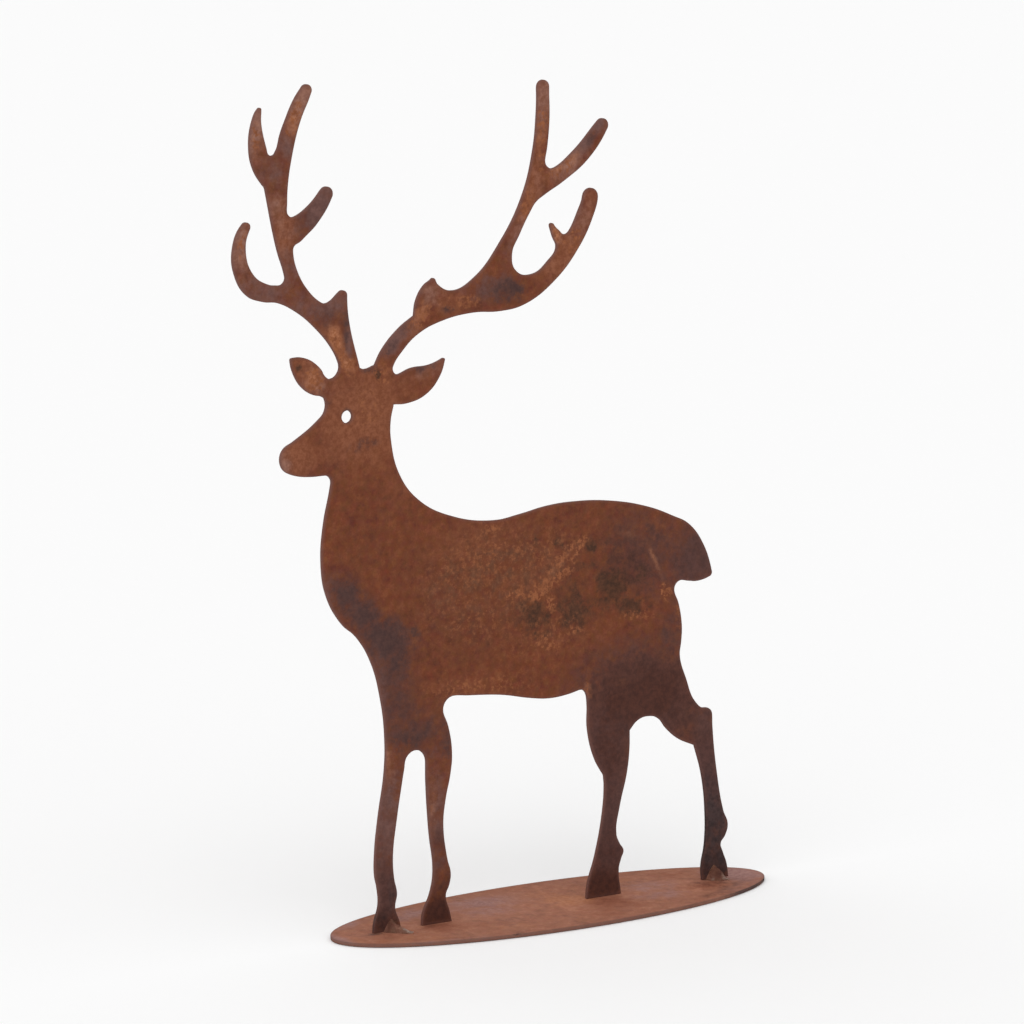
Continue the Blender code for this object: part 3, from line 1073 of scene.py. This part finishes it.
@dataclass
class RustedSheet:
    """What the stag and the foot plate share: flat faces with a shallow skin of rust and rounded rims.

    The skin's relief starts at a distance from the rim and grows over another, both in millimetres.
    """

    node: str
    name: str
    slot: str
    finish: RustFinish
    face: Face
    stains: tuple[tuple[Stain, ...], ...]
    rim_radius: float
    pitch: float
    skin_size: float
    bare_rim: float
    growth: float
    rim_steps: int = 3
    skin_depth: float = 0.1 * MM
    smooth: float = math.radians(28)

    def is_rim(self, edge: bmesh.types.BMEdge) -> bool:
        """Whether an edge parts a flat face from a cut edge."""
        flat = [abs(face.normal[self.face.value[2]]) > FACING for face in edge.link_faces]
        return len(flat) == 2 and flat[0] != flat[1]

    def round_rims(self, sheet: bpy.types.Object) -> None:
        """Takes the sharpness off the rims of the piece being edited."""
        Bench.pick(sheet, Element.EDGE, self.is_rim)
        bpy.ops.mesh.bevel(offset=self.rim_radius, segments=self.rim_steps, affect="EDGES")

    def cut_up(self) -> None:
        """Cuts the faces of the piece being edited into small squares that can take relief."""
        low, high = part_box(self.node)
        for axis in self.face.value[:2]:
            Bench.slice_all(axis, low[axis], high[axis], self.pitch)

    def relief(self, rim: np.ndarray) -> np.ndarray:
        """How much of the relief points at given distances from the rim may take."""
        return np.clip((rim - self.bare_rim) / self.growth, 0.0, 1.0)

    def coat(self, sheet: bpy.types.Object, rim: np.ndarray, relief: np.ndarray, effects: Effects) -> None:
        """Gives the piece its skin, its stains and its material.

        Args:
            sheet: The piece.
            rim: Each point's distance from the rim, in millimetres.
            relief: How much of the relief each point takes.
            effects: The shared effects.
        """
        store_layer(sheet.data, RIM, rim)
        Bench.weigh(sheet, relief)
        store_stains(sheet.data, self.face, *self.stains)
        Bench.roughen(sheet, self.skin_size, self.skin_depth)
        Bench.dress(sheet, self.smooth, self.finish.material(effects))


@dataclass
class StagSheet(RustedSheet):
    """The stag, cut from one sheet. The outline's short straight runs are bent into curves."""

    node: str = "stag_plate"
    name: str = "stag_sheet"
    slot: str = "stag_rust"
    finish: RustFinish = STAG_RUST
    face: Face = Face.UPRIGHT
    stains: tuple[tuple[Stain, ...], ...] = (STAG_FRONT_STAINS, STAG_BACK_STAINS, STAG_WALL_STAINS)
    rim_radius: float = 0.25 * MM
    pitch: float = 2.0 * MM
    skin_size: float = 9 * MM
    bare_rim: float = 0.6
    growth: float = 2.0
    flatness: float = math.radians(0.2)
    downwards: float = -0.99
    hoof_drop: float = 0.28 * MM
    widest_rim: float = 8.0
    curve_cuts: int = 2
    corner: float = math.radians(30)
    uneven: float = 2.5

    def build(self, effects: Effects) -> bpy.types.Object:
        """Makes the piece.

        Args:
            effects: The shared effects.

        Returns:
            The finished piece.
        """
        sheet = Bench.copy_node(self.node, self.name)
        Bench.open(sheet)
        bpy.ops.mesh.select_all(action="SELECT")
        bpy.ops.mesh.dissolve_limited(angle_limit=self.flatness)
        Bench.close()
        self.set_hooves_down(sheet)
        self.bend_outline(sheet)
        loops = self.read_loops(sheet)
        Bench.open(sheet)
        self.round_rims(sheet)
        Bench.close()
        Bench.open(sheet)
        self.cut_up()
        bpy.ops.mesh.select_all(action="SELECT")
        bpy.ops.mesh.remove_doubles(threshold=MERGE)
        Bench.close()
        rim = self.measure_rim(sheet, loops)
        self.coat(sheet, rim, np.round(self.relief(rim), 1), effects)
        return sheet

    def set_hooves_down(self, sheet: bpy.types.Object) -> None:
        """Lowers the hooves' undersides onto the foot plate.

        Args:
            sheet: The piece.
        """
        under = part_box(self.node)[0].z + MM
        Bench.open(sheet)
        Bench.pick(
            sheet, Element.FACE,
            lambda face: face.normal.z < self.downwards and face.calc_center_median().z < under,
        )
        bpy.ops.transform.translate(value=(0.0, 0.0, -self.hoof_drop))
        Bench.close()

    def bend_outline(self, sheet: bpy.types.Object) -> None:
        """Bends the short straight runs of the outline and of the eye into curves.

        Args:
            sheet: The piece.
        """
        low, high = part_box(self.node)
        pairs = np.concatenate([self.curve(loop) for loop in self.read_loops(sheet)])
        straight = pairs[:, :2]
        bent = np.clip(pairs[:, 2:], (low.x, low.z - self.hoof_drop), (high.x, high.z))
        Bench.open(sheet)
        Bench.pick(sheet, Element.EDGE, self.is_rim)
        bpy.ops.mesh.subdivide(number_cuts=self.curve_cuts)
        bm = bmesh.from_edit_mesh(sheet.data)
        for vert in bm.verts:
            gap = np.hypot(straight[:, 0] - vert.co.x, straight[:, 1] - vert.co.z)
            nearest = int(gap.argmin())
            if gap[nearest] < MERGE:
                vert.co.x, vert.co.z = bent[nearest]
        bmesh.update_edit_mesh(sheet.data)
        Bench.close()
        log.info("outline bent by %.2f mm at most", np.hypot(*(bent - straight).T).max() / MM)

    def read_loops(self, sheet: bpy.types.Object) -> list[np.ndarray]:
        """Walks round the front face's borders.

        Args:
            sheet: The piece.

        Returns:
            For each closed border, its corners' x and z in order.
        """
        bm = bmesh.new()
        bm.from_mesh(sheet.data)
        ways: dict[bmesh.types.BMVert, list[bmesh.types.BMVert]] = {}
        for edge in bm.edges:
            if self.is_rim(edge) and edge.verts[0].co.y < 0:
                start, stop = edge.verts
                ways.setdefault(start, []).append(stop)
                ways.setdefault(stop, []).append(start)
        loops = []
        while ways:
            here = next(iter(ways))
            loop = []
            while here in ways:
                loop.append((here.co.x, here.co.z))
                ahead = [vert for vert in ways.pop(here) if vert in ways]
                here = ahead[0] if ahead else here
            loops.append(np.array(loop))
        bm.free()
        return loops

    def curve(self, loop: np.ndarray) -> np.ndarray:
        """Works out where the points that cut each run of a border go.

        Args:
            loop: The border's corners in order.

        Returns:
            One row for each new point: its x and z on the straight run, and on the curve.
        """
        run = np.roll(loop, -1, axis=0) - loop
        length = np.hypot(run[:, 0], run[:, 1])[:, None]
        ahead = run / length
        behind, before = np.roll(ahead, 1, axis=0), np.roll(length, 1, axis=0)
        slope = (behind * length + ahead * before) / (before + length)
        slope = np.where(before > self.uneven * length, behind, slope)
        slope = np.where(length > self.uneven * before, ahead, slope)
        slope /= np.hypot(slope[:, 0], slope[:, 1])[:, None]
        sharp = (ahead * behind).sum(1)[:, None] < math.cos(self.corner)
        leave = np.where(sharp, ahead, slope) * length
        arrive = np.where(np.roll(sharp, -1, axis=0), ahead, np.roll(slope, -1, axis=0)) * length
        rows = []
        for step in range(1, self.curve_cuts + 1):
            share = step / (self.curve_cuts + 1)
            rest = 1 - share
            bend = share * rest * (rest * (leave - run) - share * (arrive - run))
            flat = loop + share * run
            rows.append(np.hstack((flat, flat + bend)))
        return np.concatenate(rows)

    def measure_rim(self, sheet: bpy.types.Object, loops: list[np.ndarray]) -> np.ndarray:
        """Measures each point's distance from the outline and the eye.

        Args:
            sheet: The piece.
            loops: The outline's and the eye's corners in order.

        Returns:
            The distances in millimetres, up to the widest that matters.
        """
        flat = places_of(sheet.data)[:, [0, 2]]
        near = np.full(len(flat), self.widest_rim * MM)
        for loop in loops:
            for start, run in zip(loop, np.roll(loop, -1, axis=0) - loop):
                share = np.clip(((flat - start) @ run) / (run @ run), 0.0, 1.0)
                gap = flat - start - share[:, None] * run
                near = np.minimum(near, np.hypot(gap[:, 0], gap[:, 1]))
        return near / MM


@dataclass
class FootPlate(RustedSheet):
    """The oval plate that the stag stands on, with a worn rim and a small nick in it."""

    node: str = "base_plate"
    name: str = "foot_plate"
    slot: str = "foot_plate_rust"
    finish: RustFinish = FOOT_RUST
    face: Face = Face.LEVEL
    stains: tuple[tuple[Stain, ...], ...] = (FOOT_STAINS, UNDERSIDE_STAINS, RIM_PAINTED_SHADE)
    rim_radius: float = 0.3 * MM
    pitch: float = 3.0 * MM
    skin_size: float = 11 * MM
    bare_rim: float = 1.0
    growth: float = 3.0
    sides: int = 192
    nick_x: float = -54.0 * MM
    nick_reach: float = 1.5 * MM
    nick_depth: float = 0.8 * MM
    innermost: float = 0.001

    def build(self, effects: Effects) -> bpy.types.Object:
        """Makes the piece.

        Args:
            effects: The shared effects.

        Returns:
            The finished piece.
        """
        low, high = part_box(self.node)
        half = (high - low) / 2
        bpy.ops.object.select_all(action="DESELECT")
        bpy.ops.mesh.primitive_cylinder_add(
            vertices=self.sides, radius=half.x, depth=high.z - low.z, location=(low + high) / 2
        )
        plate = bpy.context.active_object
        plate.name = plate.data.name = self.name
        bpy.ops.object.transform_apply(location=True, rotation=True, scale=True)
        Bench.open(plate)
        bpy.ops.mesh.select_all(action="SELECT")
        bpy.ops.transform.resize(value=(1.0, half.y / half.x, 1.0))
        self.round_rims(plate)
        self.cut_up()
        Bench.close()
        self.nick(plate, half)
        rim = self.measure_rim(plate, half)
        on_top = places_of(plate.data)[:, 2] > half.z
        self.coat(plate, rim, self.relief(rim) * on_top, effects)
        return plate

    def nick(self, plate: bpy.types.Object, half: Vector) -> None:
        """Presses a small nick into the near rim's upper border.

        Args:
            plate: The piece.
            half: Half the plate's size.
        """
        near_y = -half.y * math.sqrt(1 - (self.nick_x / half.x) ** 2)
        spot = Vector((self.nick_x, near_y, half.z * 2))
        Bench.open(plate)
        Bench.pick(plate, Element.VERT, lambda vert: (vert.co - spot).length < self.nick_reach)
        bpy.ops.transform.translate(value=(0.0, self.nick_depth, -self.nick_depth / 2))
        Bench.close()

    def measure_rim(self, plate: bpy.types.Object, half: Vector) -> np.ndarray:
        """Measures each point's distance from the oval's rim.

        Args:
            plate: The piece.
            half: Half the plate's size.

        Returns:
            The distances in millimetres.
        """
        places = places_of(plate.data)
        across, along = places[:, 0] / half.x, places[:, 1] / half.y
        out = np.maximum(np.hypot(across, along), self.innermost)
        slope = np.hypot(across / half.x, along / half.y) / out
        return np.maximum(0.0, 1.0 - out) / slope / MM


@dataclass
class WeldBead:
    """A weld bead at a hoof: a lumpy mound on the foot plate and against the sheet, with spatter by it.

    Points nearer the sheet's middle than the wall, or lower than the ground, are pressed flat and bite
    a little way into the plates. Behind the crest the bead slumps to a share of its height. Each drop of
    spatter is given by its x and y and its radius in millimetres. The rim distance, also in millimetres,
    keeps the tone of a cut edge off the bead.
    """

    node: str
    name: str
    drops: tuple[tuple[float, float, float], ...]
    slot: str = "weld_rust"
    cuts: int = 3
    bulge: float = 0.6
    rounds: int = 6
    evenness: float = 0.5
    crest: float = 0.0
    slump: float = 1.0
    roundness: float = 0.0
    lump_size: float = 2.4 * MM
    ripple_size: float = 1.1 * MM
    lump_depth: float = 0.7 * MM
    wall: float = 1.35 * MM
    ground: float = 2.35 * MM
    margin: float = 0.2 * MM
    bite: float = 0.12 * MM
    drop_sides: int = 20
    drop_rings: int = 12
    drop_turn: float = 2.4
    drop_depth: float = MM / 3
    rim_distance: float = 2.0
    smooth: float = math.radians(50)

    def is_free(self, place: Vector) -> bool:
        """Whether a point lies neither against the sheet nor on the foot plate."""
        return place.y < -self.wall - self.margin and place.z > self.ground + self.margin

    def build(self, material: bpy.types.Material) -> bpy.types.Object:
        """Makes the piece.

        Args:
            material: The weld's material.

        Returns:
            The finished piece.
        """
        bead = Bench.copy_node(self.node, self.name)
        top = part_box("base_plate")[1].z - self.bite
        Bench.open(bead)
        bpy.ops.mesh.select_all(action="SELECT")
        bpy.ops.mesh.subdivide(number_cuts=self.cuts, smoothness=self.bulge)
        bpy.ops.mesh.normals_make_consistent(inside=False)
        Bench.pick(bead, Element.VERT, lambda vert: self.is_free(vert.co) and vert.co.x > self.crest)
        bpy.ops.transform.resize(
            value=(1.0, 1.0, self.slump), center_override=(self.crest, 0.0, self.ground)
        )
        Bench.pick(bead, Element.VERT, lambda vert: self.is_free(vert.co))
        bpy.ops.transform.tosphere(value=self.roundness)
        bpy.ops.mesh.vertices_smooth(factor=self.evenness, repeat=self.rounds)
        self.press_flat(bead, top)
        Bench.close()
        Bench.weigh(bead, np.array([float(self.is_free(vert.co)) for vert in bead.data.vertices]))
        Bench.roughen(bead, self.lump_size, self.lump_depth)
        Bench.roughen(bead, self.ripple_size, self.lump_depth / 2)
        self.spatter(bead, top)
        Bench.dress(bead, self.smooth, material)
        store_layer(bead.data, RIM, np.full(len(bead.data.vertices), self.rim_distance))
        store_stains(bead.data, Face.LEVEL, WELD_STAINS, WELD_STAINS)
        return bead

    def press_flat(self, bead: bpy.types.Object, top: float) -> None:
        """Presses the two hidden sides flat, a little way into the sheet and the foot plate.

        Args:
            bead: The piece being edited.
            top: How high the lower side comes to lie.
        """
        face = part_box("stag_plate")[0].y + self.bite
        Bench.pick(bead, Element.VERT, lambda vert: vert.co.y > -self.wall)
        bpy.ops.transform.resize(value=(1.0, 0.0, 1.0), center_override=(0.0, face, 0.0))
        Bench.pick(bead, Element.VERT, lambda vert: vert.co.z < self.ground)
        bpy.ops.transform.resize(value=(1.0, 1.0, 0.0), center_override=(0.0, 0.0, top))

    def droplet(self) -> bpy.types.Object:
        """Models one droplet, a lumpy half ball of 1 mm at the origin.

        Returns:
            The droplet, from which the others are copied.
        """
        bpy.ops.object.select_all(action="DESELECT")
        bpy.ops.mesh.primitive_uv_sphere_add(
            segments=self.drop_sides, ring_count=self.drop_rings, radius=MM
        )
        drop = bpy.context.active_object
        Bench.open(drop)
        bpy.ops.mesh.select_all(action="SELECT")
        bpy.ops.mesh.bisect(
            plane_co=(0.0, 0.0, 0.0), plane_no=(0.0, 0.0, -1.0), use_fill=True, clear_outer=True,
            threshold=SNAP,
        )
        Bench.close()
        Bench.roughen(drop, MM, self.drop_depth, "")
        return drop

    def spatter(self, bead: bpy.types.Object, top: float) -> None:
        """Adds the droplets that lie beside the bead.

        Args:
            bead: The piece, which takes the droplets in.
            top: How high their lower sides lie.
        """
        model = self.droplet()
        Bench.take(bead)
        for i, (across, along, radius) in enumerate(self.drops):
            drop = model.copy()
            drop.data = model.data.copy()
            place = Vector((across * MM, along * MM, top))
            turn = Euler((0.0, 0.0, i * self.drop_turn))
            drop.data.transform(Matrix.LocRotScale(place, turn, Vector.Fill(3, radius)))
            bpy.context.scene.collection.objects.link(drop)
            drop.select_set(True)
        bpy.data.objects.remove(model)
        bpy.ops.object.join()


BEADS = (
    WeldBead(
        node="fore_weld",
        name="fore_bead",
        drops=((-97.2, -9.6, 0.55), (-99.0, -13.2, 0.4), (-95.6, -11.8, 0.35), (-113.4, -6.2, 0.4)),
        rounds=16,
        crest=-105.0 * MM,
        slump=0.8,
    ),
    WeldBead(
        node="hind_weld",
        name="hind_bead",
        drops=((114.6, -7.4, 0.55), (112.6, -9.6, 0.4), (104.8, -8.4, 0.35)),
        roundness=0.3,
    ),
)


@dataclass(frozen=True)
class Studio:
    """A plain pale floor, soft light from all round and a camera at the photograph's angle.

    The sky is white, and one broad lamp shines from high on the left.
    """

    azimuth: float = math.radians(-34.154)
    elevation: float = math.radians(9.304)
    distance: float = 2.7
    target: tuple[float, float, float] = (-26.8 * MM, 0.0, 221.4 * MM)
    lens: float = 177.1
    sensor: float = 36.0
    floor_size: float = 60.0
    floor_level: float = -0.3 * MM
    floor_tone: Colour = (0.95, 0.95, 0.95, 1.0)
    floor_roughness: float = 0.9
    floor_gloss: float = 0.1
    white: Colour = (1.0, 1.0, 1.0, 1.0)
    sky: float = 0.8
    lamp: float = 0.9
    lamp_angle: float = math.radians(60)
    lamp_way: tuple[float, float, float] = (2.0, 1.6, -3.2)

    def build(self) -> None:
        """Makes the floor, the light and the camera."""
        self.floor()
        self.light()
        self.camera()

    def floor(self) -> None:
        """Lays the floor."""
        bpy.ops.object.select_all(action="DESELECT")
        bpy.ops.mesh.primitive_plane_add(size=self.floor_size, location=(0.0, 0.0, self.floor_level))
        floor = bpy.context.active_object
        floor.name = floor.data.name = "floor"
        material = bpy.data.materials.new("pale_floor")
        material.use_nodes = True
        shader = material.node_tree.nodes["Principled BSDF"]
        shader.inputs["Base Color"].default_value = self.floor_tone
        shader.inputs["Roughness"].default_value = self.floor_roughness
        shader.inputs["Specular IOR Level"].default_value = self.floor_gloss
        floor.data.materials.append(material)

    def light(self) -> None:
        """Sets the sky and the lamp."""
        world = bpy.data.worlds.new("soft_sky")
        bpy.context.scene.world = world
        world.use_nodes = True
        background = world.node_tree.nodes["Background"]
        background.inputs["Color"].default_value = self.white
        background.inputs["Strength"].default_value = self.sky
        data = bpy.data.lights.new("high_soft_lamp", "SUN")
        data.energy = self.lamp
        data.angle = self.lamp_angle
        lamp = bpy.data.objects.new("high_soft_lamp", data)
        lamp.rotation_euler = Vector(self.lamp_way).to_track_quat("-Z", "Y").to_euler()
        bpy.context.scene.collection.objects.link(lamp)

    def camera(self) -> None:
        """Sets up the camera."""
        level = math.cos(self.elevation)
        back = Vector((math.sin(self.azimuth) * level, -math.cos(self.azimuth) * level,
                       math.sin(self.elevation)))
        data = bpy.data.cameras.new("camera")
        data.lens = self.lens
        data.sensor_width = self.sensor
        camera = bpy.data.objects.new("camera", data)
        camera.location = Vector(self.target) + back * self.distance
        camera.rotation_euler = (-back).to_track_quat("-Z", "Y").to_euler()
        bpy.context.scene.collection.objects.link(camera)
        bpy.context.scene.camera = camera
        bpy.context.scene.view_settings.view_transform = "Standard"


def settle(piece: bpy.types.Object, node: str) -> None:
    """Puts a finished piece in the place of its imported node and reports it.

    Args:
        piece: The finished piece.
        node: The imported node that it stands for.
    """
    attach(piece, "root")
    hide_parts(node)
    triangles = sum(len(face.vertices) - 2 for face in piece.data.polygons)
    log.info("%s: %d triangles, stands for %s", piece.name, triangles, node)


def main() -> None:
    """Builds the pieces and the studio."""
    logging.basicConfig(level=logging.INFO, format="%(name)s %(message)s")
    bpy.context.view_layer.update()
    effects = Effects()
    Studio().build()
    for part in (StagSheet(), FootPlate()):
        settle(part.build(effects), part.node)
    weld = WELD_RUST.material(effects)
    for bead in BEADS:
        settle(bead.build(weld), bead.node)
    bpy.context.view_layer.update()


if __name__ == "__main__":
    main()
